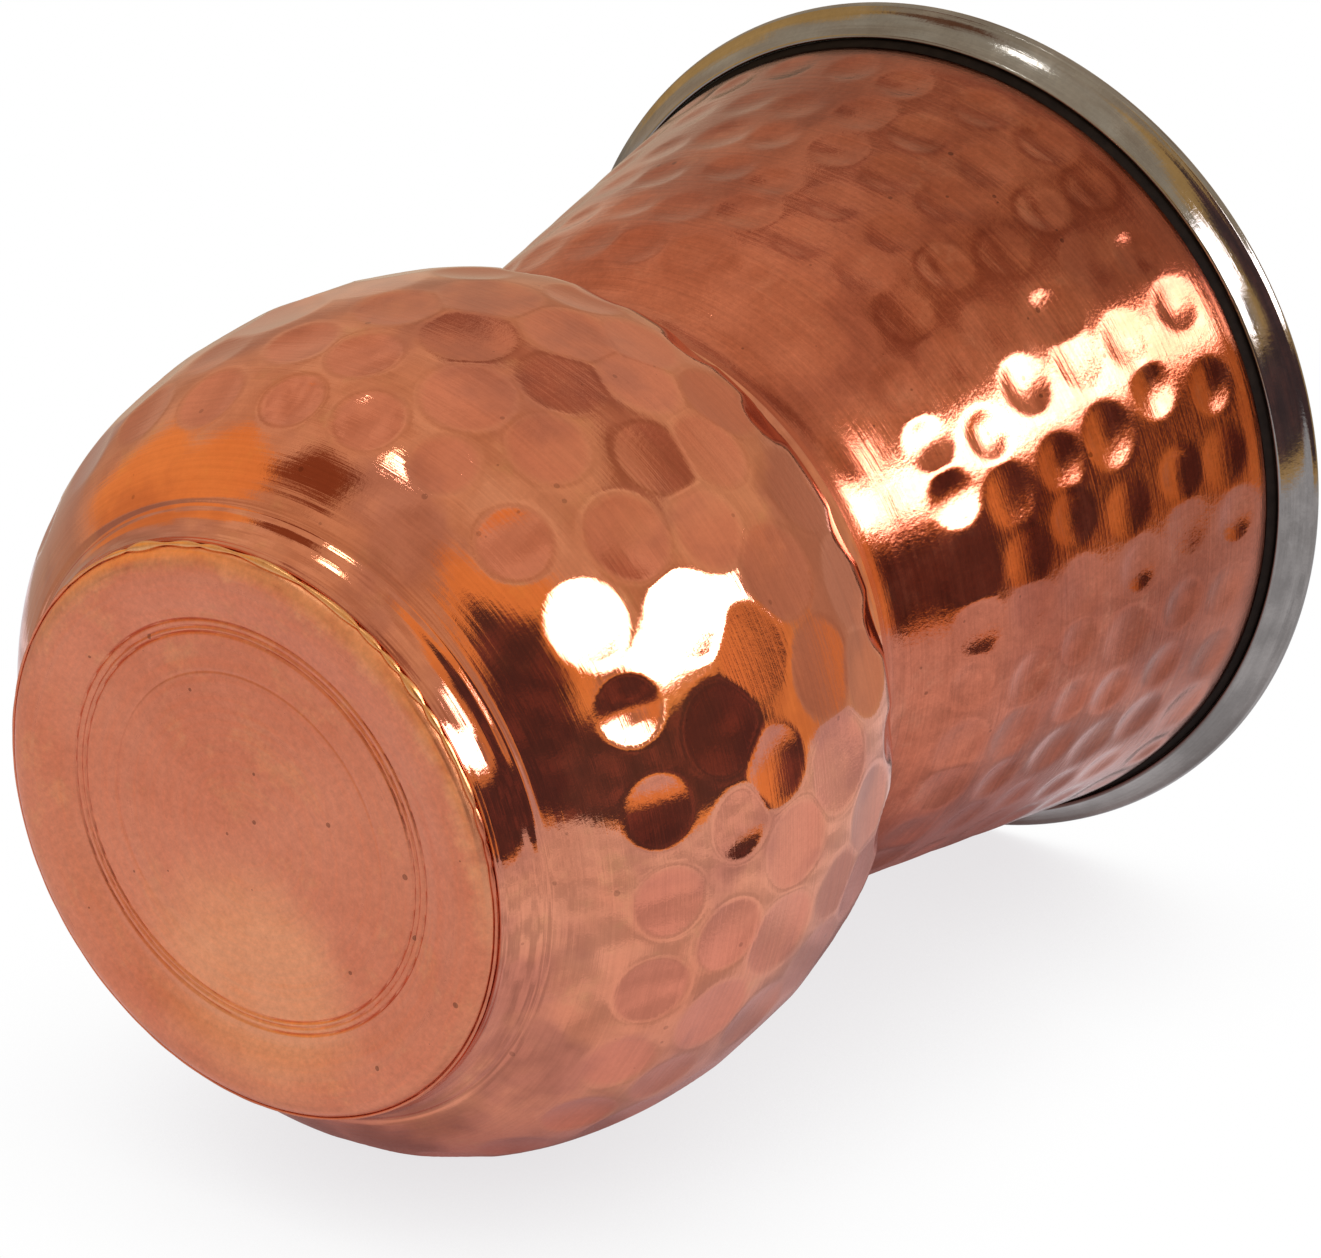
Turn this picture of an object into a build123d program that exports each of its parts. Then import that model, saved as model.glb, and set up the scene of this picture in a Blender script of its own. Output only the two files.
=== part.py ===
from build123d import *
import os

# A double-walled copper and steel water tumbler: a round bulb below, a narrow waist and a
# flared cup above. Every shell is turned about Z. Millimetres, +Z up, and the origin is the
# centre of the underside of the base.

# Sheet thicknesses, and the air gap between the copper shell and the steel liner
copper = 0.7
gap = 0.5
steel = 0.5

# Insets of each face from the outside of the copper, measured square to the wall
copper_inside = copper
liner_outside = copper + gap
liner_inside = copper + gap + steel

# A wall is a run of tangent bends followed upwards, each (radius, turn in degrees). A left
# turn closes in on the axis and a right turn flares out. A turn of 0 is a straight length.
cove = (4.0, -57)
knuckle = (20.0, 42.5)
belly = (44.7, 31)
shoulder = (6.0, 45.5)
waist_low = (7.5, -62)
waist_high = (7.5, -30)
flare = (28.0, 19.5)
cone_heading = 79.5

# Foot and base disc
foot_radius = 24.1
base_thickness = 1.1
flat_radius = 18.9
crown = (24.0, 11)
rolled_edge_radius = 0.4
score_radii = (17.7, 17.1, 16.4, 13.2)
score_width = 0.4
score_depth = 0.15

# Seams: the butt joint at the waist, the solder under the foot, the bond below the rim
waist_joint = 0.7
bead_height = 0.12
solder_height = 0.3
sealant_height = 2.0
sealant_depth = 0.6

# Rim: where the sleeve and the straight part of the liner end, the bends of the flared lip
# and the length of steel folded back down outside it
sleeve_top = 97.75
liner_top = 97.85
lip_bend = (0.5, -50)
lip_ledge = (1.0, 0)
lip_lift = (1.5, 19)
lip_slope = (3.35, 0)
hem_length = 3.3

# Liner floor: the corner under the knuckle of the bulb
floor_corner = (6.0, 33)

os.makedirs("parts", exist_ok=True)


def follow(start, heading, bends, inset=0.0):
    """Draws the bends from start, moved inset to the left of the heading, in the open line.

    Returns the first point, the last point and the last heading.
    """
    square = Vector(1, 0).rotate(Axis.Z, heading + 90)
    first = point = Vector(*start) + square * inset
    for size, turn in bends:
        along = Vector(1, 0).rotate(Axis.Z, heading)
        if turn == 0:
            edge = Line(point, point + along * size)
        else:
            side = 1 if turn > 0 else -1
            edge = JernArc(point, along, size - side * inset, turn)
        point = edge @ 1
        heading = heading + turn
    return first, point, heading


def end_of(start, heading, bends, inset=0.0):
    """The last point and heading of the bends, without drawing them."""
    with BuildLine(mode=Mode.PRIVATE):
        _, point, heading = follow(start, heading, bends, inset)
    return (point.X, point.Y), heading


def straight_to(start, heading, height):
    """A straight length that climbs from start to the given height."""
    rise = Vector(1, 0).rotate(Axis.Z, heading).Y
    return ((height - start[1]) / rise, 0)


# Stations on the outside of the copper
foot_start = (foot_radius, base_thickness)
knuckle_start, knuckle_heading = end_of(foot_start, 90, [cove])
bulb_bends = [knuckle, belly, shoulder, waist_low]
waist, _ = end_of(knuckle_start, knuckle_heading, bulb_bends)
sleeve_start = (waist[0], waist[1] + waist_joint)
cup_bends = [waist_high, flare]
cone_start, _ = end_of(sleeve_start, 90, cup_bends)
cone = straight_to(cone_start, cone_heading, sleeve_top)

# Stations on the outside of the steel
liner_cone_start, _ = end_of(sleeve_start, 90, cup_bends, liner_outside)
liner_cone = straight_to(liner_cone_start, cone_heading, liner_top)
lip_start, _ = end_of(sleeve_start, 90, cup_bends + [liner_cone], liner_outside)
corner_run, corner_heading = end_of((0, 0), 0, [floor_corner])
floor_start = (knuckle_start[0] - corner_run[0], knuckle_start[1] - corner_run[1])

# Base disc: flat in the middle, with scored rings, and rolled up at the edge
with BuildPart() as copper_base_disc:
    with BuildSketch(Plane.XZ):
        with BuildLine():
            Line((0, 0), (flat_radius, 0))
            rolled_edge = (rolled_edge_radius, 90 - crown[1])
            _, rim_point, _ = follow((flat_radius, 0), 0, [crown, rolled_edge])
            side_top = (rim_point.X, base_thickness)
            Polyline(rim_point, side_top, (0, base_thickness), (0, 0))
        make_face()
        for radius in score_radii:
            with Locations((radius, 0)):
                score = [(-score_width / 2, 0), (score_width / 2, 0), (0, score_depth)]
                Polygon(*score, align=None, mode=Mode.SUBTRACT)
    revolve(axis=Axis.Z)
copper_base_disc.part.label = "copper_base_disc"
export_step(copper_base_disc.part, "parts/copper_base_disc.step")

# Solder in the corner between the edge of the base disc and the end of the foot
with BuildPart() as base_solder_seam:
    with BuildSketch(Plane.XZ):
        with BuildLine():
            low = (rim_point.X, base_thickness - solder_height)
            out = (foot_radius, base_thickness)
            Polyline(low, side_top, out, low)
        make_face()
    revolve(axis=Axis.Z)
base_solder_seam.part.label = "base_solder_seam"
export_step(base_solder_seam.part, "parts/base_solder_seam.step")

# Copper bulb: foot, belly and shoulder in one sheet, up to the joint at the waist
with BuildPart() as copper_bulb:
    with BuildSketch(Plane.XZ):
        with BuildLine():
            bends = [cove] + bulb_bends
            outer_low, outer_high, _ = follow(foot_start, 90, bends)
            inner_low, inner_high, _ = follow(foot_start, 90, bends, copper_inside)
            Line(outer_low, inner_low)
            Line(outer_high, inner_high)
        make_face()
    revolve(axis=Axis.Z)
copper_bulb.part.label = "copper_bulb"
export_step(copper_bulb.part, "parts/copper_bulb.step")

# Copper sleeve: the flared upper shell, from the waist to just under the lip
with BuildPart() as copper_sleeve:
    with BuildSketch(Plane.XZ):
        with BuildLine():
            bends = cup_bends + [cone]
            outer_low, outer_high, _ = follow(sleeve_start, 90, bends)
            inner_low, inner_high, _ = follow(sleeve_start, 90, bends, copper_inside)
            Line(outer_low, inner_low)
            Line(outer_high, inner_high)
        make_face()
    revolve(axis=Axis.Z)
copper_sleeve.part.label = "copper_sleeve"
export_step(copper_sleeve.part, "parts/copper_sleeve.step")

# Liner bulb: the steel cup inside the copper bulb, with a flat floor
with BuildPart() as liner_bulb:
    with BuildSketch(Plane.XZ):
        with BuildLine():
            bends = [floor_corner] + bulb_bends
            outer_low, outer_high, _ = follow(floor_start, 0, bends, liner_outside)
            inner_low, inner_high, _ = follow(floor_start, 0, bends, liner_inside)
            Line(outer_high, inner_high)
            Polyline(outer_low, (0, outer_low.Y), (0, inner_low.Y), inner_low)
        make_face()
    revolve(axis=Axis.Z)
liner_bulb.part.label = "liner_bulb"
export_step(liner_bulb.part, "parts/liner_bulb.step")

# Liner funnel: the steel upper wall, its flared lip, and the hem folded back down outside
with BuildPart() as liner_funnel:
    with BuildSketch(Plane.XZ):
        with BuildLine():
            bends = cup_bends + [liner_cone]
            outer_low, _, _ = follow(sleeve_start, 90, bends, liner_outside)
            inner_low, _, _ = follow(sleeve_start, 90, bends, liner_inside)
            Line(outer_low, inner_low)
            lip_bends = [lip_bend, lip_ledge, lip_lift]
            whole_lip = lip_bends + [lip_slope]
            _, _, lip_heading = follow(lip_start, cone_heading, whole_lip, steel)
            hidden_slope = (lip_slope[0] - hem_length, 0)
            _, hem_root, _ = follow(lip_start, cone_heading, lip_bends + [hidden_slope])
            along = Vector(1, 0).rotate(Axis.Z, lip_heading)
            square = Vector(1, 0).rotate(Axis.Z, lip_heading - 90)
            hem_foot = hem_root + square * steel
            hem_top = hem_foot + along * hem_length
            Polyline(hem_root, hem_foot, hem_top)
            JernArc(hem_top, along, steel, 180)
        make_face()
    revolve(axis=Axis.Z)
liner_funnel.part.label = "liner_funnel"
export_step(liner_funnel.part, "parts/liner_funnel.step")

# Braze bead that joins the two copper shells at the waist
with BuildPart() as waist_braze_seam:
    with BuildSketch(Plane.XZ):
        with BuildLine():
            low = Vector(*waist)
            high = Vector(*sleeve_start)
            back = Vector(-copper, 0)
            Polyline(low, low + back, high + back, high)
            SagittaArc(low, high, -bead_height)
        make_face()
    revolve(axis=Axis.Z)
waist_braze_seam.part.label = "waist_braze_seam"
export_step(waist_braze_seam.part, "parts/waist_braze_seam.step")

# Weld bead that joins the two steel liner walls at the waist, proud on the inside
with BuildPart() as liner_weld_bead:
    with BuildSketch(Plane.XZ):
        with BuildLine():
            low = Vector(waist[0] - liner_inside, waist[1])
            high = low + Vector(0, waist_joint)
            back = Vector(steel, 0)
            Polyline(low, low + back, high + back, high)
            SagittaArc(low, high, bead_height)
        make_face()
    revolve(axis=Axis.Z)
liner_weld_bead.part.label = "liner_weld_bead"
export_step(liner_weld_bead.part, "parts/liner_weld_bead.step")

# Bond that holds the sleeve to the liner, in the gap at the top of the sleeve
with BuildPart() as rim_sealant:
    with BuildSketch(Plane.XZ):
        with BuildLine():
            bond = [(sealant_height, 0)]
            below_bond = (cone[0] - sealant_depth - sealant_height, 0)
            bond_start, _ = end_of(cone_start, cone_heading, [below_bond])
            out_low, out_high, _ = follow(bond_start, cone_heading, bond, copper_inside)
            in_low, in_high, _ = follow(bond_start, cone_heading, bond, liner_outside)
            Line(out_low, in_low)
            Line(out_high, in_high)
        make_face()
    revolve(axis=Axis.Z)
rim_sealant.part.label = "rim_sealant"
export_step(rim_sealant.part, "parts/rim_sealant.step")
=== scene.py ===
import math
import bpy
import numpy as np
from mathutils import Matrix, Quaternion, Vector


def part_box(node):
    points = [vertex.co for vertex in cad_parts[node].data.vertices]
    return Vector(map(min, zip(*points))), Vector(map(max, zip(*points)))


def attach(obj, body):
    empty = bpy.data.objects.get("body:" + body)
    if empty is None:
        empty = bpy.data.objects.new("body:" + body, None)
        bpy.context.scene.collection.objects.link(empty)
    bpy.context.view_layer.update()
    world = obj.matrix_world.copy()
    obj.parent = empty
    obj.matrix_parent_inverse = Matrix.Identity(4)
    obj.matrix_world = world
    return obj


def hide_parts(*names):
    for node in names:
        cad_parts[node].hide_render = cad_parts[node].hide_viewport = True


# Visual model of the hammered copper and steel tumbler. Shapes are worked out in
# millimetres in the (radius, height) plane, turned about Z, and written in metres.

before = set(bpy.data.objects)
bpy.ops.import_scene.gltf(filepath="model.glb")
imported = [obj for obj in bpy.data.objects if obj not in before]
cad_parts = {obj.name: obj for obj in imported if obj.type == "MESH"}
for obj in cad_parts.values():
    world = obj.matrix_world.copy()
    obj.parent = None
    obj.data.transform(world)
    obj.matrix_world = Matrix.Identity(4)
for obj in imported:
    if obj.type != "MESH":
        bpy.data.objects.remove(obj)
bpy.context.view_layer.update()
MM = 0.001
SEED = 7
rng = np.random.default_rng(SEED)

# ---------------------------------------------------------------- directions
# The tumbler stands upright in the frame. The photographed one lies on its side, so the
# camera and the floor are turned about it instead: the floor touches the belly and the rim.
# Azimuths are in degrees about Z, and UP_AZIMUTH is the side that lies uppermost.
UP_AZIMUTH = 45.0
CAMERA_AZIMUTH = UP_AZIMUTH + 53.85


def round_z(azimuth, radius, height):
    """A point or direction at an azimuth: 0 is towards -Y and 90 towards +X."""
    a = math.radians(azimuth)
    return Vector((radius * math.sin(a), -radius * math.cos(a), height))


# The side of the tumbler that lies lowest, where the base is given a painted sheen, and the
# side where solder ran golden
LOW_SIDE = round_z(-131.1, 1, 0)
GOLD_SIDE = round_z(62.0, 1, 0)

# ---------------------------------------------------------------- camera
CAMERA_OFF_AXIS = 250.8
CAMERA_HEIGHT = -226.0
CAMERA_ROLL = 58.4
AIM_HEIGHT = 54.2
AIM_SIDE = 3.1
LENS = 118.9
SENSOR_WIDTH = 36
NEAREST = 0.01
FARTHEST = 20

camera = bpy.data.objects.new("camera", bpy.data.cameras.new("camera"))
bpy.context.scene.collection.objects.link(camera)
camera.location = round_z(CAMERA_AZIMUTH, CAMERA_OFF_AXIS, CAMERA_HEIGHT) * MM
to_camera = Quaternion((0, 0, 1), math.radians(CAMERA_AZIMUTH))
aim = to_camera @ Vector((AIM_SIDE, 0, AIM_HEIGHT)) * MM
look = (aim - camera.location).normalized()
camera.rotation_mode = "QUATERNION"
roll = Quaternion((0, 0, 1), math.radians(CAMERA_ROLL))
camera.rotation_quaternion = look.to_track_quat("-Z", "Y") @ roll
camera.data.lens = LENS
camera.data.sensor_width = SENSOR_WIDTH
camera.data.clip_start = NEAREST
camera.data.clip_end = FARTHEST
bpy.context.scene.camera = camera


# ---------------------------------------------------------------- outlines
def follow(start, heading, bends, inset=0.0, step=0.4):
    """Points and outward normals along tangent bends (radius, turn in degrees), left turns
    positive and a turn of 0 a straight length, moved inset to the left of the heading."""
    angle = math.radians(heading)
    point = np.array(start, float)
    points, normals = [], []
    for size, turn in bends:
        sweep = math.radians(turn)
        length = size if turn == 0 else size * abs(sweep)
        count = max(2, int(math.ceil(length / step)))
        fractions = np.linspace(0, 1, count, endpoint=False)
        angles = angle + sweep * fractions
        outward = np.stack([np.sin(angles), -np.cos(angles)], 1)
        if turn == 0:
            along = np.array([math.cos(angle), math.sin(angle)])
            path = point + np.outer(fractions * size, along)
            end = point + along * size
        else:
            side = math.copysign(size, turn)
            centre = point + side * np.array([-math.sin(angle), math.cos(angle)])
            path = centre + side * outward
            last = angle + sweep
            end = centre + side * np.array([math.sin(last), -math.cos(last)])
        points.append(path - outward * inset)
        normals.append(outward)
        point = end
        angle += sweep
    last_normal = np.array([[math.sin(angle), -math.cos(angle)]])
    points.append(point - last_normal * inset)
    normals.append(last_normal)
    return np.concatenate(points), np.concatenate(normals)


def run_length(points):
    """Distance along a line of points, from its start."""
    return np.concatenate([[0], np.cumsum(np.linalg.norm(np.diff(points, axis=0), axis=1))])


def run_at(points, distances, height):
    """Distance along an outline at which it reaches a height."""
    return float(np.interp(height, points[:, 1], distances))


# ---------------------------------------------------------------- meshes
def round_angles(segments):
    """Evenly spaced angles round the axis, in radians."""
    return np.arange(segments) * 2 * np.pi / segments


def towards(side, phi):
    """1 at the angles that face a side of the tumbler, falling to -1 on its far side."""
    return side.x * np.sin(phi) - side.y * np.cos(phi)


def mesh_piece(name, vertices, faces, material, stands_for, sharp, struck):
    """A smooth-shaded mesh that rides on the body and stands for a CAD node."""
    mesh = bpy.data.meshes.new(name)
    mesh.from_pydata(vertices.tolist(), [], faces)
    mesh.validate()
    mesh.shade_smooth()
    mesh.set_sharp_from_angle(angle=math.radians(sharp))
    mesh.materials.append(material)
    if struck is not None:
        polish = mesh.attributes.new("polish", "FLOAT", "POINT")
        polish.data.foreach_set("value", struck.ravel())
    piece = bpy.data.objects.new(name, mesh)
    bpy.context.scene.collection.objects.link(piece)
    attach(piece, "root")
    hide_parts(stands_for)


def turned(name, points, normals, push, segments, material, stands_for, sharp=50,
           struck=None):
    """A closed outline turned about Z, each vertex moved push along its normal. push and
    struck, the share of a hammer blow, have a row per point and a column per segment."""
    phi = round_angles(segments)
    radius = points[:, :1] + normals[:, :1] * push
    height = points[:, 1:] + normals[:, 1:] * push
    radius = np.broadcast_to(radius, (len(points), segments))
    height = np.broadcast_to(height, (len(points), segments))
    vertices = np.stack([radius * np.sin(phi), -radius * np.cos(phi), height], -1)
    row = np.arange(len(points))[:, None]
    column = np.arange(segments)[None]
    next_row = (row + 1) % len(points)
    next_column = (column + 1) % segments
    corners = (
        row * segments + column,
        row * segments + next_column,
        next_row * segments + next_column,
        next_row * segments + column,
    )
    faces = np.stack([np.broadcast_to(c, (len(points), segments)) for c in corners], -1)
    mesh_piece(
        name, vertices.reshape(-1, 3) * MM, faces.reshape(-1, 4).tolist(), material,
        stands_for, sharp, struck,
    )


def plain_ring(name, points, segments, material, stands_for, sharp):
    """A closed outline turned about Z, with nothing pushed in or out."""
    turned(name, points, np.zeros_like(points), np.zeros((len(points), 1)), segments,
           material, stands_for, sharp)


def hammered_sheet(name, outside, inside, push, segments, material, stands_for,
                   struck=None):
    """A sheet turned about Z from the (points, normals) of both faces. Only the outer face
    is pushed and struck."""
    untouched = np.zeros((len(inside[0]), segments))
    points = np.concatenate([outside[0], inside[0][::-1]])
    normals = np.concatenate([outside[1], inside[1][::-1]])
    push = np.concatenate([push, untouched])
    if struck is not None:
        struck = np.concatenate([struck, untouched])
    turned(name, points, normals, push, segments, material, stands_for, struck=struck)


# ---------------------------------------------------------------- hammer and tool marks
AZIMUTH_MISS = 1 / 6
RADIUS_RANGE = (0.86, 1.14)
DEPTH_RANGE = (0.6, 1.25)


def soften(field):
    """Rounds off the ridges of a field that wraps round in its second direction."""
    field = 0.5 * field + 0.25 * (np.roll(field, 1, 1) + np.roll(field, -1, 1))
    inner = 0.5 * field[1:-1] + 0.25 * (field[:-2] + field[2:])
    return np.concatenate([field[:1], inner, field[-1:]])


def ripple(phi, strength, low, high):
    """A smooth uneven wave round the axis, from whole numbers of waves low to high."""
    wave = np.zeros_like(phi)
    for count in range(low, high):
        wave += rng.normal() * np.sin(count * phi + rng.uniform(0, 2 * np.pi))
    return strength * wave / math.sqrt(high - low)


def blows(rows, count, phase, radius, depth, miss, stagger=0.0):
    """Hammer blows in rows round the axis: (row position, azimuth, radius, depth). miss is
    how far a blow strays, and stagger how much of the spacing odd rows are moved round."""
    spacing = 360 / count
    made = []
    for index, position in enumerate(rows):
        for k in range(count):
            azimuth = phase + spacing * (k + stagger * (index % 2))
            made.append((
                position + rng.normal(0, miss),
                math.radians(azimuth + rng.normal(0, miss * spacing * AZIMUTH_MISS)),
                radius * rng.uniform(*RADIUS_RANGE),
                depth * rng.uniform(*DEPTH_RANGE),
            ))
    return made


def hammered(points, along, segments, marks, edge):
    """Depth of the hammer blows at each vertex. A blow is a shallow bowl: edge 1 leaves a
    crisp rim, and more rounds it over."""
    phi = round_angles(segments)
    depth = np.zeros((len(points), segments))
    for position, azimuth, radius, deep in marks:
        rows = np.nonzero(np.abs(along - position) < radius)[0]
        if len(rows) == 0:
            continue
        turn = (phi - azimuth + np.pi) % (2 * np.pi) - np.pi
        columns = np.nonzero(np.abs(turn) * points[rows, 0].min() < radius)[0]
        across = turn[columns][None] * points[rows, 0][:, None]
        share = ((along[rows] - position)[:, None] ** 2 + across ** 2) / radius ** 2
        bowl = deep * np.clip(1 - share, 0, None) ** edge
        patch = np.ix_(rows, columns)
        depth[patch] = np.maximum(depth[patch], bowl)
    return depth


# ---------------------------------------------------------------- shader nodes
MEASURES = ("LENGTH", "DISTANCE", "DOT_PRODUCT")


class Nodes:
    """Short forms for building a node tree."""

    def __init__(self, tree):
        self.tree = tree
        tree.nodes.clear()

    def set(self, socket, value):
        """Links a socket to another one, or gives it a plain value."""
        if isinstance(value, bpy.types.NodeSocket):
            self.tree.links.new(value, socket)
        else:
            socket.default_value = value

    def add(self, kind, settings=None, **inputs):
        """A node. An input is named after its socket, _ for a space, or i and its number."""
        node = self.tree.nodes.new(kind)
        for key, value in (settings or {}).items():
            setattr(node, key, value)
        for key, value in inputs.items():
            place = int(key[1:]) if key[1:].isdigit() else key.replace("_", " ")
            self.set(node.inputs[place], value)
        return node

    def math(self, operation, *values):
        inputs = {f"i{k}": value for k, value in enumerate(values)}
        return self.add("ShaderNodeMath", {"operation": operation}, **inputs).outputs[0]

    def vector(self, operation, *values):
        inputs = {f"i{k}": value for k, value in enumerate(values)}
        node = self.add("ShaderNodeVectorMath", {"operation": operation}, **inputs)
        return node.outputs["Value" if operation in MEASURES else "Vector"]

    def ramp(self, value, low, high, to_low=0.0, to_high=1.0):
        """value, eased from to_low at low up to to_high at high."""
        return self.add(
            "ShaderNodeMapRange", {"interpolation_type": "SMOOTHSTEP"},
            i0=value, i1=low, i2=high, i3=to_low, i4=to_high,
        ).outputs[0]

    def mix(self, factor, first, second, blend="MIX"):
        """first, changed to second as far as factor says."""
        node = self.add("ShaderNodeMix", {"data_type": "RGBA", "blend_type": blend})
        self.set(node.inputs[0], factor)
        self.set(node.inputs[6], first)
        self.set(node.inputs[7], second)
        return node.outputs[2]

    def dimmed(self, amount, colour, tint):
        """colour, multiplied by tint as far as amount says."""
        return self.mix(amount, colour, self.mix(1.0, colour, tint, "MULTIPLY"))

    def noise(self, vector, scale, detail=3.0, roughness=0.55):
        return self.add(
            "ShaderNodeTexNoise", Vector=vector, Scale=scale, Detail=detail,
            Roughness=roughness,
        ).outputs[0]

    def uneven(self, pattern, amount):
        """A pattern round 0.5, made to swing round 0 by amount."""
        return self.math("MULTIPLY", self.math("SUBTRACT", pattern, 0.5), amount)


# ---------------------------------------------------------------- metals
# Noise patterns: scale per metre, detail and roughness
CLOUDS = (55.0, 4.0, 0.6)
STAINS = (62.0, 4.0, 0.58)
BLOTCHES = (190.0, 5.0, 0.7)
SPECKLE = (1900.0, 3.0, 0.7)
MARKS = (1.0, 4.0, 0.65)
# Turning marks are noise drawn out round the axis: its scale round and across them
MARKS_ROUND = 40.0
MARKS_ACROSS = 2600.0
# Where a pattern, from 0 to 1, begins to show as a tone, and where the tone is full
DEEP_EDGE = (0.36, 0.66)
STAIN_EDGE = (0.52, 0.72)
STRUCK_EDGE = (0.3, 0.6)
TARNISH_EDGE = (0.5, 0.62)
MARKS_EDGE = (0.25, 0.75)
ROUGH_MARKS_EDGE = (0.3, 0.7)
ROUGH_BLOTCHES_EDGE = (0.45, 0.75)
# The most of a tone that shows, and the least
STAIN_MOST = 0.55
PATCH_MOST = 0.8
STRUCK_LEAST = 0.5
WASH_LEAST = 0.15
# Places, lengths and reliefs: in metres, but for WASH_REACH in millimetres
STAINS_PLACE = (0.31, 0.12, 0.07)
WASH_UNEVEN = 0.006
WASH_REACH = 12.0
PATCH_UNEVEN = 0.012
LINE_RELIEF = 0.00006
GRAIN_RELIEF = 0.00004
# One pit to a cell, only in this share of the cells, and at most this share of a cell wide
PITS = 620.0
PIT_SHARE = 0.16


def turning_marks(n, parts, radius):
    """Noise drawn out into fine lines round the axis, on walls and flats alike."""
    spun = n.add(
        "ShaderNodeCombineXYZ",
        X=n.math("MULTIPLY", parts.outputs[0], MARKS_ROUND),
        Y=n.math("MULTIPLY", parts.outputs[1], MARKS_ROUND),
        Z=n.math("MULTIPLY", n.math("ADD", parts.outputs[2], radius), MARKS_ACROSS),
    ).outputs[0]
    return n.noise(spun, *MARKS)


def pitted(n, value, place, specks):
    """value, darkened in a few small round pits."""
    pits = n.add("ShaderNodeTexVoronoi", Vector=place, Scale=PITS)
    cell = n.add("ShaderNodeSeparateColor", Color=pits.outputs["Color"])
    size = n.ramp(cell.outputs[0], 0.0, PIT_SHARE, PIT_SHARE, 0.0)
    pit = n.math("LESS_THAN", pits.outputs["Distance"], size)
    return n.math("SUBTRACT", value, n.math("MULTIPLY", pit, specks / 2))


def metal(name, colour, deep, stain, roughness, lines, grain, specks=0.0, wash=None,
          patch=None, tarnish=None, shade_by_height=None, blow=None):
    """Turned metal in three tones: colour, deep and stain.

    lines is how deep the turning marks bite, grain how strongly the fine speckle shows and
    specks how dark the pits are. wash is a (colour, low, high) tint by radius towards
    GOLD_SIDE, and patch a (colour, centre, core, edge) spot round a point square to the
    axis: a painted sheen on the base, and golden solder on the seam. tarnish is the
    (colour, strength) of scattered duller stains, and shade_by_height a (low, high, share)
    painted shade by height. blow is the colour where a hammer struck.
    """
    material = bpy.data.materials.new(name)
    material.use_nodes = True
    n = Nodes(material.node_tree)
    place = n.add("ShaderNodeTexCoord").outputs["Object"]
    parts = n.add("ShaderNodeSeparateXYZ", Vector=place)
    flat = n.add("ShaderNodeCombineXYZ", X=parts.outputs[0], Y=parts.outputs[1]).outputs[0]
    radius = n.vector("LENGTH", flat)
    streaks = turning_marks(n, parts, radius)
    clouds = n.noise(place, *CLOUDS)
    blotches = n.noise(place, *BLOTCHES)
    speckle = n.noise(place, *SPECKLE)

    shade = n.mix(n.ramp(clouds, *DEEP_EDGE), colour + (1,), deep + (1,))
    shade = n.mix(n.ramp(blotches, *STAIN_EDGE, 0.0, STAIN_MOST), shade, stain + (1,))
    if blow:
        polish = n.add("ShaderNodeAttribute", {"attribute_name": "polish"}).outputs["Fac"]
        patchy = n.ramp(clouds, *STRUCK_EDGE, STRUCK_LEAST, 1.0)
        struck = n.math("MULTIPLY", polish, patchy)
        shade = n.mix(struck, shade, blow + (1,))
    if tarnish:
        dull, strength = tarnish
        stains = n.noise(n.vector("ADD", place, STAINS_PLACE), *STAINS)
        shade = n.mix(n.ramp(stains, *TARNISH_EDGE, 0.0, strength), shade, dull + (1,))
    if wash:
        tint, low, high = wash
        edge = n.math("ADD", radius, n.uneven(blotches, WASH_UNEVEN))
        facing = n.vector("DOT_PRODUCT", flat, tuple(GOLD_SIDE))
        facing = n.ramp(facing, 0.0, WASH_REACH * MM, WASH_LEAST, 1.0)
        share = n.math("MULTIPLY", n.ramp(edge, low * MM, high * MM), facing)
        shade = n.mix(share, shade, tint + (1,))
    if patch:
        tint, centre, core, rim = patch
        reach = n.vector("DISTANCE", flat, tuple(centre * MM))
        reach = n.math("ADD", reach, n.uneven(clouds, PATCH_UNEVEN))
        spot = n.ramp(reach, rim * MM, core * MM, 0.0, PATCH_MOST)
        shade = n.mix(spot, shade, tint + (1,))

    value = n.math("ADD", n.math("MULTIPLY", speckle, grain), 1 - grain / 2)
    value = n.math("MULTIPLY", value, n.ramp(streaks, *MARKS_EDGE, 1 - lines / 2, 1.0))
    # Painted shade: the colour is darkened by height, towards the top
    if shade_by_height:
        low, high, share = shade_by_height
        level = n.ramp(parts.outputs[2], low * MM, high * MM, 1.0, share)
        value = n.math("MULTIPLY", value, level)
    if specks:
        value = pitted(n, value, place, specks)
    tone = n.add("ShaderNodeCombineXYZ", X=value, Y=value, Z=value).outputs[0]
    shade = n.mix(1.0, shade, tone, "MULTIPLY")

    low, high = roughness * 0.75, roughness * 1.25
    rough = n.math("ADD", n.ramp(streaks, *ROUGH_MARKS_EDGE, low, high),
                   n.ramp(blotches, *ROUGH_BLOTCHES_EDGE, 0.0, roughness / 2))
    fine = n.add("ShaderNodeBump", Strength=lines, Distance=LINE_RELIEF, Height=streaks)
    bump = n.add("ShaderNodeBump", Strength=grain, Distance=GRAIN_RELIEF, Height=speckle,
                 Normal=fine.outputs[0])
    shader = n.add("ShaderNodeBsdfPrincipled", Base_Color=shade, Roughness=rough,
                   Metallic=1.0, Normal=bump.outputs[0])
    n.add("ShaderNodeOutputMaterial", Surface=shader.outputs[0])
    return material


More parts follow.
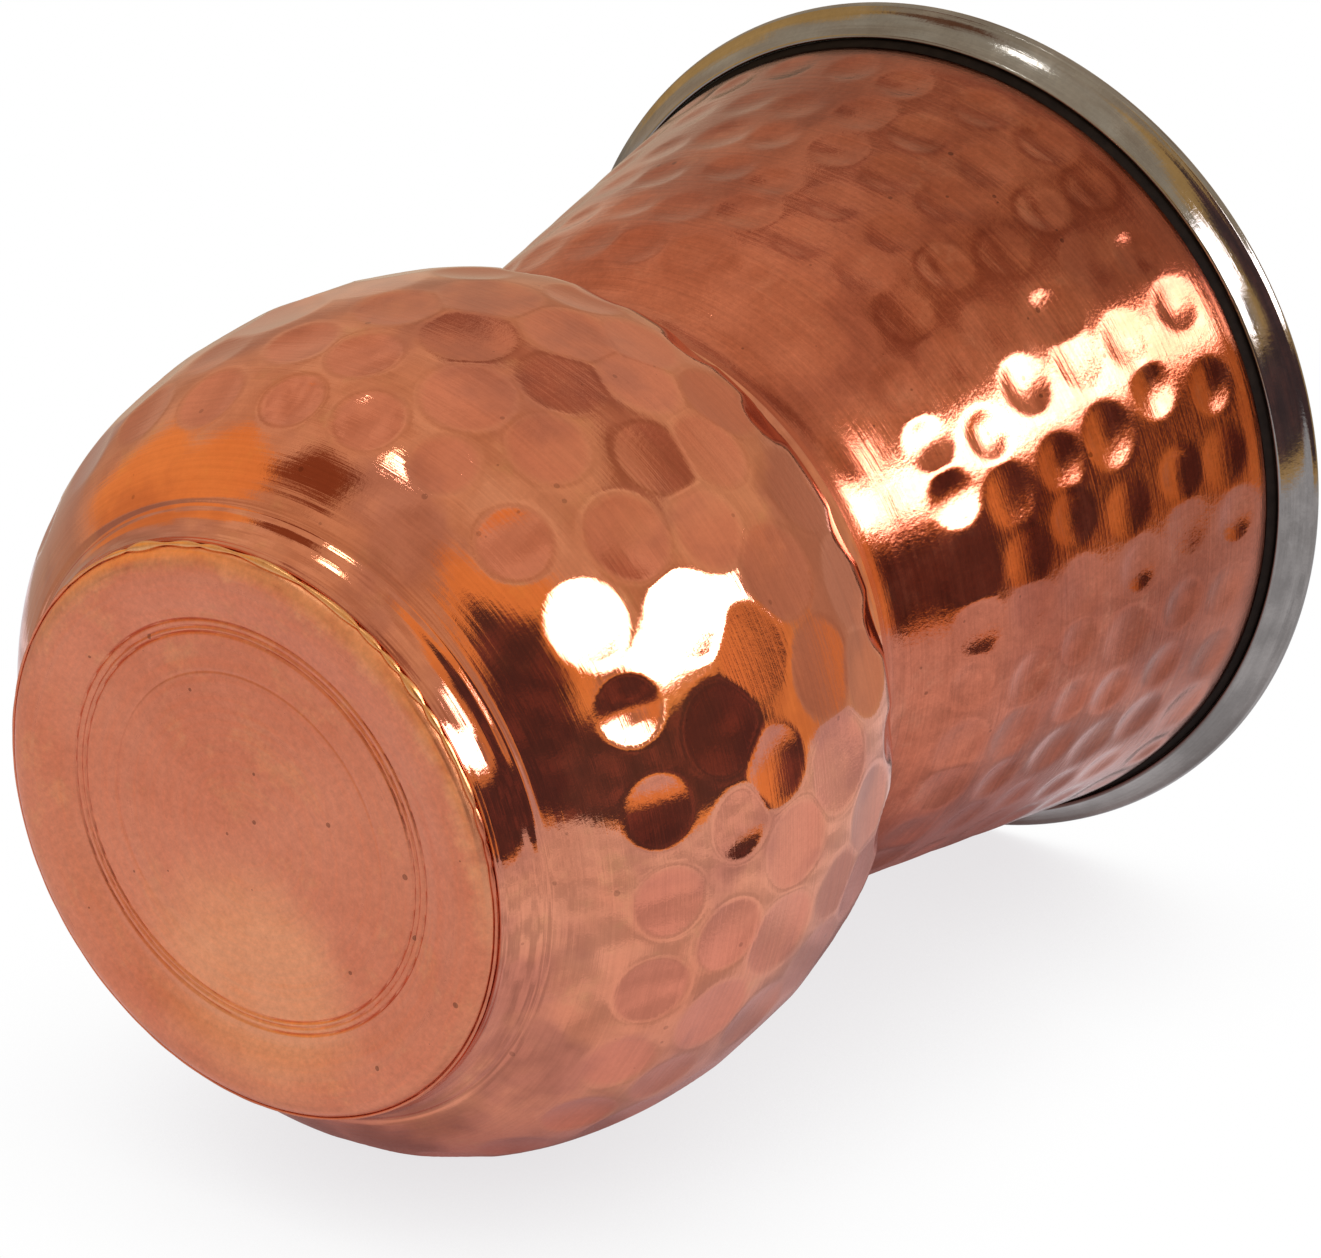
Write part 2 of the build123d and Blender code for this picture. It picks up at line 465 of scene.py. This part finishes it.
BULB = metal("bulb_copper", (0.87, 0.365, 0.215), (0.80, 0.30, 0.17), (0.83, 0.39, 0.195),
             roughness=0.05, lines=0.2, grain=0.18, specks=0.5,
             tarnish=((0.58, 0.21, 0.145), 0.7), blow=(0.81, 0.285, 0.175))
# The sleeve carries painted shade, darker towards the rim
SLEEVE = metal("sleeve_copper", (0.72, 0.235, 0.135), (0.54, 0.15, 0.08), (0.78, 0.30, 0.18),
               roughness=0.09, lines=0.34, grain=0.45, specks=0.6,
               tarnish=((0.46, 0.13, 0.078), 0.65), shade_by_height=(58.0, 90.0, 0.7))
# The base's patch is a painted sheen, lighter towards the side that lies lowest
BASE = metal("base_copper", (0.82, 0.30, 0.17), (0.76, 0.25, 0.135), (0.92, 0.44, 0.23),
             roughness=0.36, lines=0.2, grain=0.5, specks=0.9,
             wash=((0.95, 0.44, 0.225), 21.6, 23.8),
             patch=((0.97, 0.44, 0.22), LOW_SIDE * 13.5, 5.0, 12.5))
BRAZE = metal("waist_braze", (0.66, 0.20, 0.11), (0.58, 0.16, 0.085), (0.66, 0.22, 0.12),
              roughness=0.2, lines=0.3, grain=0.15)
SOLDER = metal("solder", (0.78, 0.28, 0.16), (0.68, 0.22, 0.12), (0.86, 0.36, 0.19),
               roughness=0.3, lines=0.1, grain=0.5,
               patch=((0.90, 0.50, 0.20), GOLD_SIDE * 20, 16.0, 24.0))
STEEL = metal("rim_steel", (0.34, 0.33, 0.31), (0.28, 0.27, 0.25), (0.41, 0.40, 0.38),
              roughness=0.09, lines=0.2, grain=0.25)
LINER = metal("liner_steel", (0.55, 0.54, 0.52), (0.49, 0.48, 0.46), (0.6, 0.59, 0.57),
              roughness=0.2, lines=0.5, grain=0.06)
WELD = metal("weld_steel", (0.46, 0.45, 0.44), (0.36, 0.34, 0.33), (0.52, 0.5, 0.46),
             roughness=0.35, lines=0.4, grain=0.3)

# ---------------------------------------------------------------- bonding compound, near black as painted shade
# Near-black colours of the compound, darkened to paint the shade in the gap under the rim
DARK_BOND_AND_SHADE = (0.004, 0.003, 0.003, 1)
LIGHT_BOND_AND_SHADE = (0.02, 0.015, 0.012, 1)
BOND_LUMPS = 900.0


def bond_and_shade_material():
    """Nearly black, dull bonding compound, made near black to paint the shade in the gap under
    the rim.
    """
    material = bpy.data.materials.new("bond_and_shade")
    material.use_nodes = True
    n = Nodes(material.node_tree)
    place = n.add("ShaderNodeTexCoord").outputs["Object"]
    lumps = n.noise(place, BOND_LUMPS)
    colour = n.mix(lumps, DARK_BOND_AND_SHADE, LIGHT_BOND_AND_SHADE)
    bump = n.add("ShaderNodeBump", Strength=0.4, Distance=0.0001, Height=lumps)
    shader = n.add("ShaderNodeBsdfPrincipled", Base_Color=colour, Roughness=0.7,
                   Specular_IOR_Level=0.08, Normal=bump.outputs[0])
    n.add("ShaderNodeOutputMaterial", Surface=shader.outputs[0])
    return material


BOND_AND_SHADE = bond_and_shade_material()

# ---------------------------------------------------------------- stations from the frame
foot_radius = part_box("base_solder_seam")[1].x / MM
foot_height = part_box("copper_bulb")[0].z / MM
edge_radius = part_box("copper_base_disc")[1].x / MM
belly_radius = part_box("copper_bulb")[1].x / MM
waist_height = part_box("copper_bulb")[1].z / MM
sleeve_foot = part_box("copper_sleeve")[0].z / MM
sleeve_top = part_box("copper_sleeve")[1].z / MM
rim_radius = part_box("liner_funnel")[1].x / MM
rim_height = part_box("liner_funnel")[1].z / MM
sealant_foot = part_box("rim_sealant")[0].z / MM
sealant_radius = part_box("rim_sealant")[1].x / MM

# Sheets, and the bends of the walls as (radius, turn), from the bottom up
COPPER_SHEET = 0.7
STEEL_SHEET = 0.5
WALL_GAP = 0.5
LINER_OUTSIDE = COPPER_SHEET + WALL_GAP
LINER_INSIDE = LINER_OUTSIDE + STEEL_SHEET
BULB_BENDS = [(4.0, -57), (20.0, 42.5), (44.7, 31), (6.0, 45.5), (7.5, -62)]
CUP_BENDS = [(7.5, -30), (28.0, 19.5)]
CONE_HEADING = 79.5

# ---------------------------------------------------------------- copper bulb
BULB_SEGMENTS = 500
BULB_STEP = 0.21
BULB_INSIDE_STEP = 4
BULB_BLOWS = 26
BULB_PHASE = CAMERA_AZIMUTH - 1.1
STAGGERED = BULB_PHASE + 180 / BULB_BLOWS
# Each row of blows: height, count, azimuth of the first, radius, depth and miss
BULB_ROWS = (
    (11.4, BULB_BLOWS, BULB_PHASE, 3.15, 0.38, 0.35),
    (17.5, BULB_BLOWS, STAGGERED, 3.5, 0.32, 0.55),
    (23.9, BULB_BLOWS, BULB_PHASE, 3.8, 0.29, 0.75),
    (30.4, BULB_BLOWS, STAGGERED, 3.9, 0.25, 0.75),
    (36.6, BULB_BLOWS, BULB_PHASE, 3.8, 0.26, 0.75),
    (41.2, 24, CAMERA_AZIMUTH + 5, 2.8, 0.4, 0.4),
)
STRUCK_DEPTH = 0.09
CREASE_HEIGHT = 4.45
CREASE_DEPTH = 0.2
CREASE_WIDTH = 0.3
# Turning marks fade out over this length from the foot
TURNED_LENGTH = 9.0
TURNED_STATIONS = [0, 4, TURNED_LENGTH]
TURNED_DEPTHS = [0.02, 0.01, 0]

foot = (foot_radius, foot_height)
outer, outer_normals = follow(foot, 90, BULB_BENDS, step=BULB_STEP)
bulb_inside = follow(foot, 90, BULB_BENDS, COPPER_SHEET, BULB_INSIDE_STEP)
along = run_length(outer)
waist = (outer[-1, 0], sleeve_foot)
# Every row is kept where the turning marks are, and every other row above them
every_other = np.arange(len(along)) % 2 == (len(along) - 1) % 2
kept = (along < TURNED_LENGTH) | every_other
outer, outer_normals, along = outer[kept], outer_normals[kept], along[kept]

marks = []
for height, count, phase, size, deep, miss in BULB_ROWS:
    marks += blows([run_at(outer, along, height)], count, phase, size, deep, miss)
depth = hammered(outer, along, BULB_SEGMENTS, marks, 1.0)
struck = np.clip(depth / STRUCK_DEPTH, 0, 1)
crease = run_at(outer, along, CREASE_HEIGHT)
depth += CREASE_DEPTH * np.exp(-((along[:, None] - crease) / CREASE_WIDTH) ** 2)
bite = np.interp(along, TURNED_STATIONS, TURNED_DEPTHS)[:, None]
turning = rng.normal(0, 1, (len(along), 1)) * bite
hammered_sheet("hammered_bulb", (outer, outer_normals), bulb_inside, turning - depth,
               BULB_SEGMENTS, BULB, "copper_bulb", struck)

# ---------------------------------------------------------------- copper sleeve
SLEEVE_SEGMENTS = 620
SLEEVE_STEP = 0.42
SLEEVE_INSIDE_STEP = 6
FIRST_ROW = 59.8
ROW_SPACING = 6.6
ROWS = 6
SLEEVE_BLOWS = 35
SLEEVE_PHASE = CAMERA_AZIMUTH + 3
BLOW_RADIUS = 2.75
BLOW_DEPTH = 0.31
BLOW_MISS = 0.45
BLOW_STAGGER = 0.15
BLOW_EDGE = 1.15
TUCK = 0.25
TUCK_LENGTH = 3.0

cup, _ = follow(waist, 90, CUP_BENDS)
rise = math.sin(math.radians(CONE_HEADING))
sleeve_bends = CUP_BENDS + [((sleeve_top - cup[-1, 1]) / rise, 0)]
outer, outer_normals = follow(waist, 90, sleeve_bends, step=SLEEVE_STEP)
sleeve_inside = follow(waist, 90, sleeve_bends, COPPER_SHEET, SLEEVE_INSIDE_STEP)
along = run_length(outer)
rows = [run_at(outer, along, FIRST_ROW + ROW_SPACING * k) for k in range(ROWS)]
marks = blows(rows, SLEEVE_BLOWS, SLEEVE_PHASE, BLOW_RADIUS, BLOW_DEPTH, BLOW_MISS,
              BLOW_STAGGER)
depth = soften(hammered(outer, along, SLEEVE_SEGMENTS, marks, BLOW_EDGE))
# The top of the sleeve is tucked in under the hem
to_top = (along[:, None] - along[-1] + TUCK_LENGTH) / TUCK_LENGTH
tuck = TUCK * np.clip(to_top, 0, 1) ** 2
hammered_sheet("hammered_sleeve", (outer, outer_normals), sleeve_inside, -depth - tuck,
               SLEEVE_SEGMENTS, SLEEVE, "copper_sleeve")

# ---------------------------------------------------------------- braze, polished flush
SEAM_SEGMENTS = 256
band = np.array([
    [waist[0], waist_height],
    [waist[0], sleeve_foot],
    [waist[0] - COPPER_SHEET, sleeve_foot],
    [waist[0] - COPPER_SHEET, waist_height],
])
plain_ring("waist_seam", band, SEAM_SEGMENTS, BRAZE, "waist_braze_seam", sharp=30)

# ---------------------------------------------------------------- base disc
BASE_SEGMENTS = 420
DISC_SHEET = 0.7
STAND_RADIUS = 21.6
DISH = 0.8
DISH_RADIUS = 17.4
DISH_POWER = 1.5
ROLL_SHARE = 0.97
ROLL_POWER = 2.6
# Each score: radius and depth
SCORES = ((17.35, 0.17), (16.75, 0.12), (16.3, 0.16), (13.1, 0.06))
SCORE_WIDTH = 0.11
SCORE_OFFSET = 0.6
UNEVEN = 0.05
UNEVEN_WAVES = (2, 12)
UNEVEN_FROM = 18.5
UNEVEN_WIDTH = 4
OVER_STRIDE = 8


def disc_height(radius):
    """Underside of the disc: sunk in the middle, standing on a ring, rolled up at the edge."""
    inside = np.clip((STAND_RADIUS - radius) / (STAND_RADIUS - DISH_RADIUS), 0, 1)
    sunk = DISH * (1 - (1 - inside ** 2) ** DISH_POWER)
    outside = np.clip((radius - STAND_RADIUS) / (edge_radius - STAND_RADIUS), 0, 1)
    rolled = foot_height * (1 - np.sqrt(1 - ROLL_SHARE * outside ** ROLL_POWER))
    return sunk + rolled


# Coarse in the middle, fine where the scores are, and coarser again to the edge
radii = np.concatenate([
    np.linspace(0.001, 12.6, 24),
    np.arange(12.8, 18.6, 0.07),
    np.arange(18.7, edge_radius, 0.2),
    [edge_radius],
])
under = np.stack([radii, disc_height(radii)], 1)
back = radii[::-OVER_STRIDE]
over = np.stack([back, disc_height(back) + DISC_SHEET], 1)
loop = np.concatenate([under, [[edge_radius, foot_height]], over])
phi = round_angles(BASE_SEGMENTS)
share = np.clip((radii - UNEVEN_FROM) / UNEVEN_WIDTH, 0, 1)[:, None]
wobble = np.zeros((len(loop), BASE_SEGMENTS))
# The rows of the underside, a part of wobble, which is uneven between two smooth circles
scored = wobble[:len(radii)]
scored += ripple(phi, UNEVEN, *UNEVEN_WAVES) * share * (1 - share) * 4
# The scores were cut a little off centre, away from the low side
from_centre = radii[:, None] + SCORE_OFFSET * towards(LOW_SIDE, phi)
for at, deep in SCORES:
    scored -= deep * np.exp(-((from_centre - at) / SCORE_WIDTH) ** 2)
down = np.tile([0.0, -1.0], (len(loop), 1))
turned("base_disc", loop, down, wobble, BASE_SEGMENTS, BASE,
       "copper_base_disc")

# ---------------------------------------------------------------- solder round the base disc
SOLDER_SEGMENTS = 720
BEAD_POINTS = 10
BEAD_INSET = 0.15
BEAD_DROP = 0.25
BEAD_RADIUS = 0.11
THINNEST = 0.08
THICKEST = 0.55
LUMPS = 0.3
LUMPS_WAVES = (3, 36)
LUMPS_FALL = 1.2

phi = round_angles(SOLDER_SEGMENTS)
lumpy = np.clip(1 - LUMPS_FALL * (1 - towards(GOLD_SIDE, phi)), THINNEST, 1)
ragged = BEAD_RADIUS + lumpy * np.abs(ripple(phi, LUMPS, *LUMPS_WAVES))
ragged = np.clip(ragged, THINNEST, THICKEST)
circle = np.linspace(0, 2 * np.pi, BEAD_POINTS, endpoint=False)
bead_normals = np.stack([np.cos(circle), np.sin(circle)], 1)
bead = np.tile([foot_radius - BEAD_INSET, foot_height - BEAD_DROP], (BEAD_POINTS, 1))
turned("solder_seam", bead, bead_normals, np.tile(ragged, (BEAD_POINTS, 1)),
       SOLDER_SEGMENTS, SOLDER, "base_solder_seam", sharp=70)

# ---------------------------------------------------------------- steel liner, lip and hem
LINER_SEGMENTS = 256
LINER_STEP = 1.2
LIP_STEP = 0.15
CURL_STEP = 0.12
LIP_BENDS = [(0.5, -50), (1.0, 0), (1.5, 19)]
LIP_SLOPE = 3.35
HEM_LENGTH = 3.3
LINER_STRAIGHT_TOP = 97.85
FOLD_SAG = 0.2
# The hem is hollow along its length and swells just before its curl
HEM_FROM = 0.04
HEM_TO = 0.97
HEM_HOLLOW = 0.16
HEM_SWELL = 0.1
SWELL_WIDTH = 0.14
CLOSEST = 0.02

liner_cup, _ = follow(waist, 90, CUP_BENDS, LINER_OUTSIDE)
wall_bends = CUP_BENDS + [((LINER_STRAIGHT_TOP - liner_cup[-1, 1]) / rise, 0)]
outside, _ = follow(waist, 90, wall_bends, LINER_OUTSIDE, LINER_STEP)
inside, _ = follow(waist, 90, wall_bends, LINER_INSIDE, LINER_STEP)
liner_top = outside[-1]
lip_bends = LIP_BENDS + [(LIP_SLOPE, 0)]
lip_in, _ = follow(liner_top, CONE_HEADING, lip_bends, STEEL_SHEET, LIP_STEP)
hidden_bends = LIP_BENDS + [(LIP_SLOPE - HEM_LENGTH, 0)]
lip_out, _ = follow(liner_top, CONE_HEADING, hidden_bends, step=LIP_STEP)
lip_heading = CONE_HEADING + sum(turn for _, turn in LIP_BENDS)
lip_angle = math.radians(lip_heading)
lip_along = np.array([math.cos(lip_angle), math.sin(lip_angle)])
lip_square = np.array([math.sin(lip_angle), -math.cos(lip_angle)])
hem_root = lip_out[-1]
hem_foot = hem_root + lip_square * STEEL_SHEET
hem_top = hem_foot + lip_along * HEM_LENGTH
hem_curl, _ = follow(hem_top, lip_heading, [(STEEL_SHEET, 180)], step=CURL_STEP)
fold = np.linspace(0, 1, 6)[:, None]
hem_low = hem_root + (hem_foot - hem_root) * fold
hem_low = hem_low - lip_along * FOLD_SAG * np.sin(fold * np.pi)
climb = np.linspace(HEM_FROM, HEM_TO, 26)[:, None]
swell = HEM_SWELL * np.exp(-((climb - HEM_TO) / SWELL_WIDTH) ** 2)
relief = swell - HEM_HOLLOW * np.sin(climb * np.pi)
hem_wall = hem_foot + lip_along * HEM_LENGTH * climb + lip_square * relief
rim_loop = np.concatenate([
    outside, lip_out[1:-1], hem_low, hem_wall, hem_curl, lip_in[::-1], inside[::-1],
])
far_enough = np.linalg.norm(np.diff(rim_loop, axis=0), axis=1) > CLOSEST
rim_loop = rim_loop[np.concatenate([[True], far_enough])]
plain_ring("steel_funnel", rim_loop, LINER_SEGMENTS, STEEL, "liner_funnel",
           sharp=60)

# ---------------------------------------------------------------- bond in the gap under the rim, with painted shade
# It stands between the walls, spills over the top of the sleeve and meets the hem's fold:
# a near-black sheet over the underside of the hem that paints the shade there
bond_foot = np.array([sealant_radius, sealant_foot])
bond_top = np.array([sealant_radius, sleeve_top])
bond_and_shade = np.array([
    bond_foot - (0.9, 0),
    bond_foot - (0.45, 0),
    bond_top - (0.1, 0.15),
    bond_top + (0.55, 0.2),
    hem_root - (0.1, 0.15),
    hem_root - (0.9, 0.1),
    liner_top - (0.05, 0),
])
plain_ring("rim_bond_and_shade", bond_and_shade, SEAM_SEGMENTS, BOND_AND_SHADE, "rim_sealant", sharp=60)

# ---------------------------------------------------------------- CAD pieces shown as they are
for node, material, slot in (
    ("liner_bulb", LINER, "liner_steel"),
    ("liner_weld_bead", WELD, "weld_steel"),
):
    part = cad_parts[node]
    part.data.materials.clear()
    part.data.materials.append(material)
    part.data.shade_smooth()
    part.data.set_sharp_from_angle(angle=math.radians(40))

# ---------------------------------------------------------------- floor
BELLY_HEIGHT = 26.7
FLOOR_GAP = 0.2
FLOOR_PATCHES = 70.0
# Sizes of the floors and reaches of their shadows, in metres
LYING_SIZE = 1.4
MIRRORED_SIZE = 0.34
UPRIGHT_SIZE = 3.0
SHADOW_REACH = 0.033
MIRRORED_REACH = 0.055
WHITE = (1, 1, 1, 1)
TABLE = (0.85, 0.81, 0.85, 1)
SOFT_SHADOW = (0.78, 0.755, 0.765, 1)
COPPER_SHADOW = (0.28, 0.088, 0.067, 1)

# Lying down, the tumbler rests on its belly and its rim, and up is square to that line.
# The scene is turned round middle, a point on the axis half way up.
lean = math.atan2(rim_radius - belly_radius, rim_height - BELLY_HEIGHT)
up = round_z(UP_AZIMUTH, math.cos(lean), math.sin(lean))
right = (camera.rotation_quaternion @ Vector((1, 0, 0))).normalized()
forward = up.cross(right).normalized()
middle = Vector((0, 0, 0.05))
drop = belly_radius * math.cos(lean) - BELLY_HEIGHT * math.sin(lean)
under_middle = middle - up * (middle.dot(up) + (drop + FLOOR_GAP) * MM)


def floor_material(name, colour, shadow, patchy, reach):
    """Glows in its own colour, turns to the shadow colour where something stands over it
    within reach, and is clear from below. patchy is how uneven the colour is."""
    material = bpy.data.materials.new(name)
    material.use_nodes = True
    n = Nodes(material.node_tree)
    near = n.add("ShaderNodeAmbientOcclusion", {"samples": 6}, Distance=reach)
    shade = n.mix(n.ramp(near.outputs["AO"], 0.05, 0.8), shadow, colour)
    place = n.add("ShaderNodeTexCoord").outputs["Object"]
    patches = n.ramp(n.noise(place, FLOOR_PATCHES), 0.4, 0.6, 1 - patchy, 1.0)
    glow = n.add("ShaderNodeEmission", Color=shade, Strength=patches)
    clear = n.add("ShaderNodeBsdfTransparent")
    back = n.add("ShaderNodeNewGeometry").outputs["Backfacing"]
    shown = n.add("ShaderNodeMixShader", i0=back, i1=glow.outputs[0], i2=clear.outputs[0])
    n.add("ShaderNodeOutputMaterial", Surface=shown.outputs[0])
    return material


def floor_plane(name, centre, normal, size, material, mirrored=False):
    """A square of floor that only the camera sees, or only the metal when mirrored."""
    mesh = bpy.data.meshes.new(name)
    half = size / 2
    corners = [(-half, -half, 0), (half, -half, 0), (half, half, 0), (-half, half, 0)]
    mesh.from_pydata(corners, [], [(0, 1, 2, 3)])
    mesh.materials.append(material)
    plane = bpy.data.objects.new(name, mesh)
    bpy.context.scene.collection.objects.link(plane)
    plane.location = centre
    plane.rotation_mode = "QUATERNION"
    plane.rotation_quaternion = normal.to_track_quat("Z", "Y")
    plane.visible_camera = not mirrored
    plane.visible_glossy = mirrored
    plane.visible_diffuse = False
    plane.visible_transmission = False
    plane.visible_shadow = False


FLOOR = floor_material("floor", WHITE, SOFT_SHADOW, 0.0, SHADOW_REACH)
MIRRORED = floor_material("floor_mirrored", TABLE, COPPER_SHADOW, 0.30, MIRRORED_REACH)
below_base = Vector((0, 0, -FLOOR_GAP * MM))
floor_plane("floor_lying", under_middle, up, LYING_SIZE, FLOOR)
floor_plane("floor_mirrored", under_middle, up, MIRRORED_SIZE, MIRRORED, mirrored=True)
floor_plane("floor_upright", below_base, Vector((0, 0, 1)), UPRIGHT_SIZE, FLOOR)

# ---------------------------------------------------------------- surroundings
# A plain room that only the metal sees. Its colours are placed in degrees of azimuth from
# forward, growing to the right, and of elevation over the floor.
SEAM_AZIMUTH = -135.0
CEILING = (0.80, 0.71, 0.58, 1)
WALL = (0.70, 0.58, 0.44, 1)
BEAM = (0.47, 0.32, 0.25, 1)
GOLD = (0.86, 0.52, 0.20, 1)
BROWN = (0.46, 0.39, 0.33, 1)
RUST = (0.26, 0.11, 0.06, 1)
DARK = (0.10, 0.065, 0.07, 1)
EMBER = (0.24, 0.11, 0.10, 1)
CLOUDED = (0.84, 0.77, 0.72, 1)
MOTTLED = (0.84, 0.80, 0.78, 1)
CREASED = (0.78, 0.74, 0.74, 1)

world = bpy.data.worlds.new("studio")
bpy.context.scene.world = world
world.use_nodes = True
n = Nodes(world.node_tree)
ray = n.add("ShaderNodeTexCoord").outputs["Generated"]
across = n.vector("DOT_PRODUCT", ray, tuple(right))
ahead = n.vector("DOT_PRODUCT", ray, tuple(forward))
above = n.vector("DOT_PRODUCT", ray, tuple(up))
azimuth = n.math("MULTIPLY", n.math("ARCTAN2", across, ahead), 180 / math.pi)
# Azimuth runs on to 225 from -135, so that its seam lies where the room is plain
past_seam = n.math("LESS_THAN", azimuth, SEAM_AZIMUTH)
azimuth = n.math("ADD", azimuth, n.math("MULTIPLY", past_seam, 360.0))
elevation = n.math("MULTIPLY", n.math("ARCSINE", above), 180 / math.pi)


def zone(west, east, low, high, soft):
    """1 inside a patch of the surroundings, falling to 0 over its soft edges."""
    sides = n.math("MULTIPLY", n.ramp(azimuth, west - soft, west),
                   n.ramp(azimuth, east + soft, east))
    ends = n.math("MULTIPLY", n.ramp(elevation, low - soft, low),
                  n.ramp(elevation, high + soft, high))
    return n.math("MULTIPLY", sides, ends)


patches = n.ramp(n.noise(ray, 2.3, 3.0, 0.6), 0.42, 0.6)
mottles = n.ramp(n.noise(ray, 7.0), 0.42, 0.58)
streaky = n.mix(n.ramp(n.noise(ray, 11.0), 0.48, 0.62), DARK, EMBER)
sky = n.mix(n.ramp(elevation, 20.0, 60.0), WALL, CEILING)
sky = n.mix(zone(2, 84, 45, 52, 3.0), sky, BEAM)
sky = n.dimmed(patches, sky, CLOUDED)
sky = n.dimmed(mottles, sky, MOTTLED)
for colour, west, east, low, high, soft in (
    (GOLD, -97, -68, 6, 42, 4.0),
    (GOLD, -70, -52, 6, 26, 5.0),
    (BROWN, -100, -20, -18, -2, 4.0),
    (RUST, -118, -94, 41, 56, 3.0),
    (GOLD, 72, 208, -15, 13, 4.0),
    (GOLD, 150, 200, -15, 47, 4.0),
    (streaky, 88, 196, -12, 11, 2.0),
    (streaky, 162, 194, -12, 34, 3.0),
):
    sky = n.mix(zone(west, east, low, high, soft), sky, colour)
sheet = n.dimmed(patches, TABLE, CREASED)
surround = n.mix(n.ramp(elevation, -19.0, -16.0), sheet, sky)
light = n.add("ShaderNodeBackground", Color=surround, Strength=1.0)
white = n.add("ShaderNodeBackground", Color=WHITE, Strength=1.0)
seen = n.add("ShaderNodeLightPath").outputs["Is Camera Ray"]
both = n.add("ShaderNodeMixShader", i0=seen, i1=light.outputs[0], i2=white.outputs[0])
n.add("ShaderNodeOutputWorld", Surface=both.outputs[0])

# ---------------------------------------------------------------- soft boxes
PANEL_DISTANCE = 1.2
COOL = (1.0, 0.94, 1.0)
WARM = (1.0, 0.98, 0.96)


def panel(name, azimuth, elevation, width, height, radiance, colour):
    """A soft box aimed at the tumbler, placed as the surroundings are."""
    a, e = math.radians(azimuth), math.radians(elevation)
    outward = (right * math.sin(a) + forward * math.cos(a)) * math.cos(e) + up * math.sin(e)
    level = up.cross(outward).normalized()
    tall = outward.cross(level).normalized()
    data = bpy.data.lights.new(name, "AREA")
    data.shape = "RECTANGLE"
    data.size = width
    data.size_y = height
    data.energy = radiance * math.pi * width * height
    data.color = colour
    lamp = bpy.data.objects.new(name, data)
    bpy.context.scene.collection.objects.link(lamp)
    lamp.location = middle + outward * PANEL_DISTANCE
    lamp.rotation_mode = "QUATERNION"
    lamp.rotation_quaternion = Matrix((level, tall, outward)).transposed().to_quaternion()
    lamp.visible_camera = False


panel("window", 108.0, 24.5, 1.1, 0.285, 10.0, COOL)
panel("window_end", 142.0, 33.0, 0.28, 0.34, 8.0, COOL)
panel("skylight", -128.0, 69.0, 0.16, 0.07, 14.0, WARM)

scene = bpy.context.scene
scene.view_settings.view_transform = "Standard"
scene.view_settings.look = "None"
